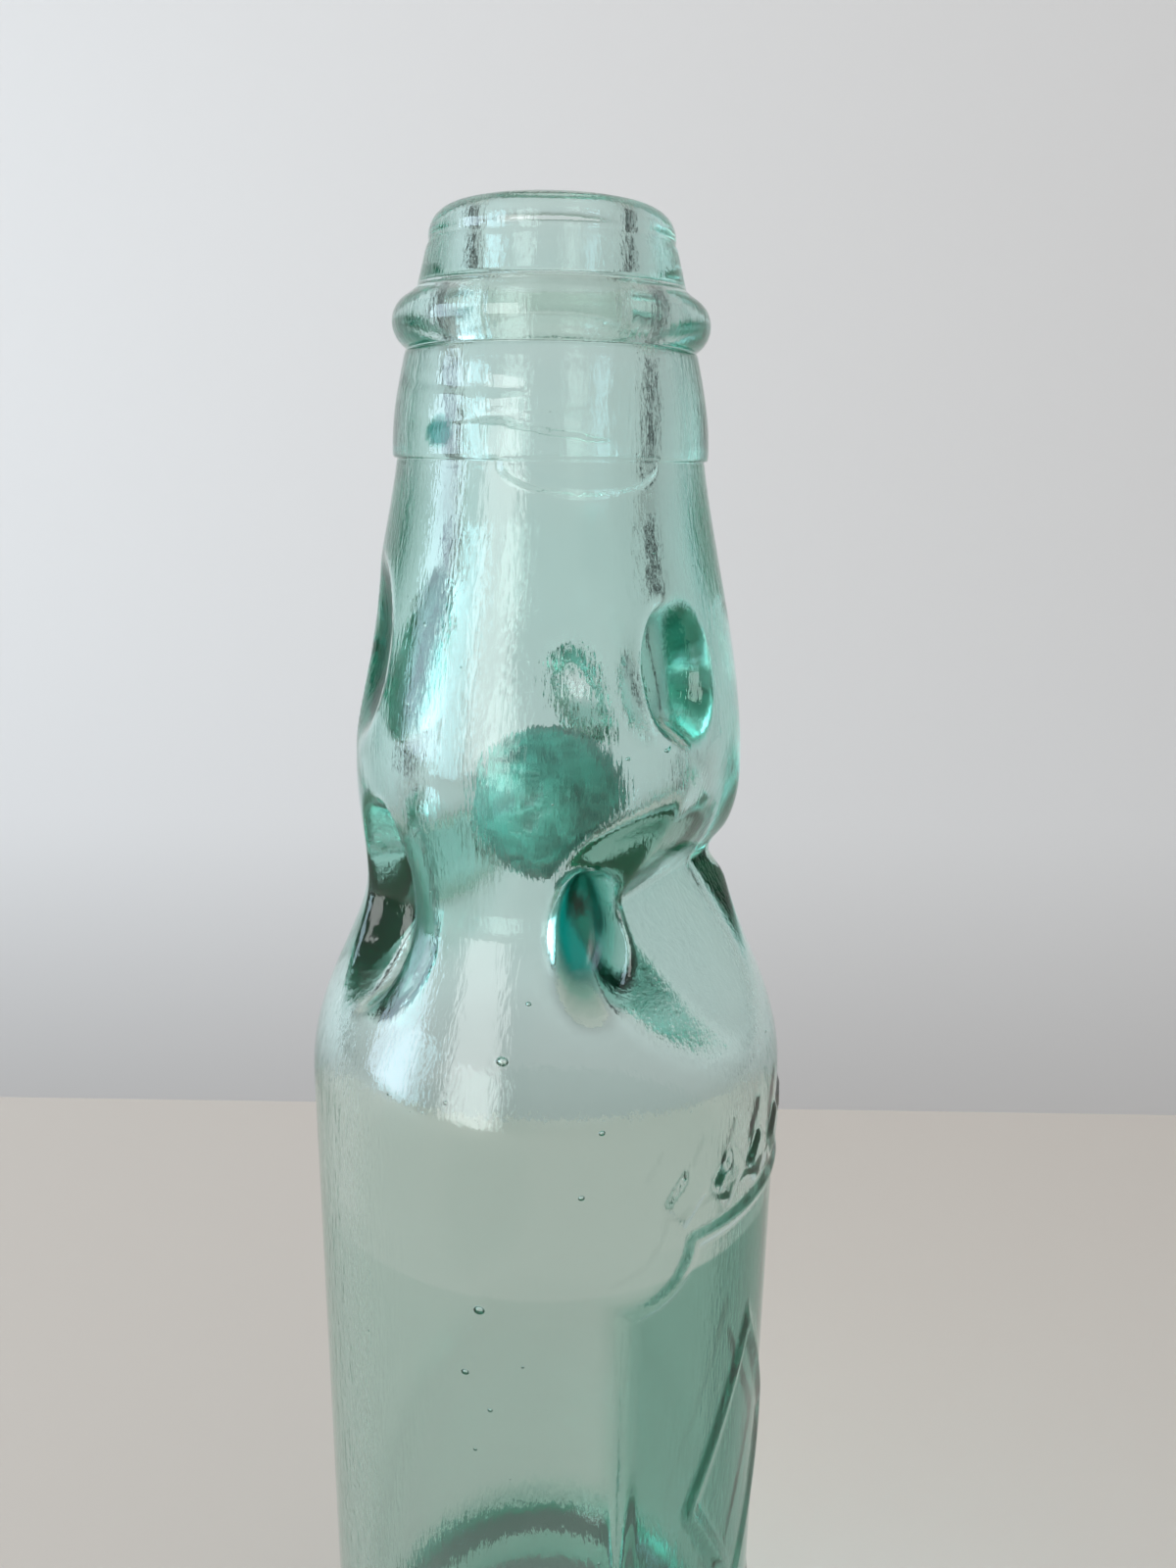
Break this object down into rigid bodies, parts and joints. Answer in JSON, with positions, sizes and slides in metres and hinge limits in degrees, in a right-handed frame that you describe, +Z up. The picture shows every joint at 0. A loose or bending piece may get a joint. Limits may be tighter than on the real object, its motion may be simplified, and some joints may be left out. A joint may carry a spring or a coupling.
{
  "type": "marble stopper bottle",
  "caption": "Thick glass drinks bottle whose glass marble lies in a pinched neck chamber and seals against a rubber ring under the lip.",
  "frame": {"origin": "centre of the base, on the surface that the bottle stands on", "axes": "+Z up along the bottle's axis, -Y out of the front with the embossed panel, the waist's slot along X"},
  "size_m": [0.0624, 0.0629, 0.2258],
  "materials": {
    "bottle_glass": "thick blue-green blown glass, slightly rippled",
    "finish_glass": "tooled blue-green glass with fine turning lines",
    "ring_rubber": "pale translucent rubber",
    "marble_glass": "solid blue-green glass, scuffed"
  },
  "bodies": {
    "bottle": {"glass_body": "bottle_glass", "applied_finish": "finish_glass", "seal_ring": "ring_rubber"},
    "marble": {"marble": "marble_glass"}
  },
  "joints": [
    {"name": "marble_travel", "type": "slide", "parent": "bottle", "child": "marble", "axis": [0, 0, 1], "range_m": [0, 0.0487]}
  ]
}
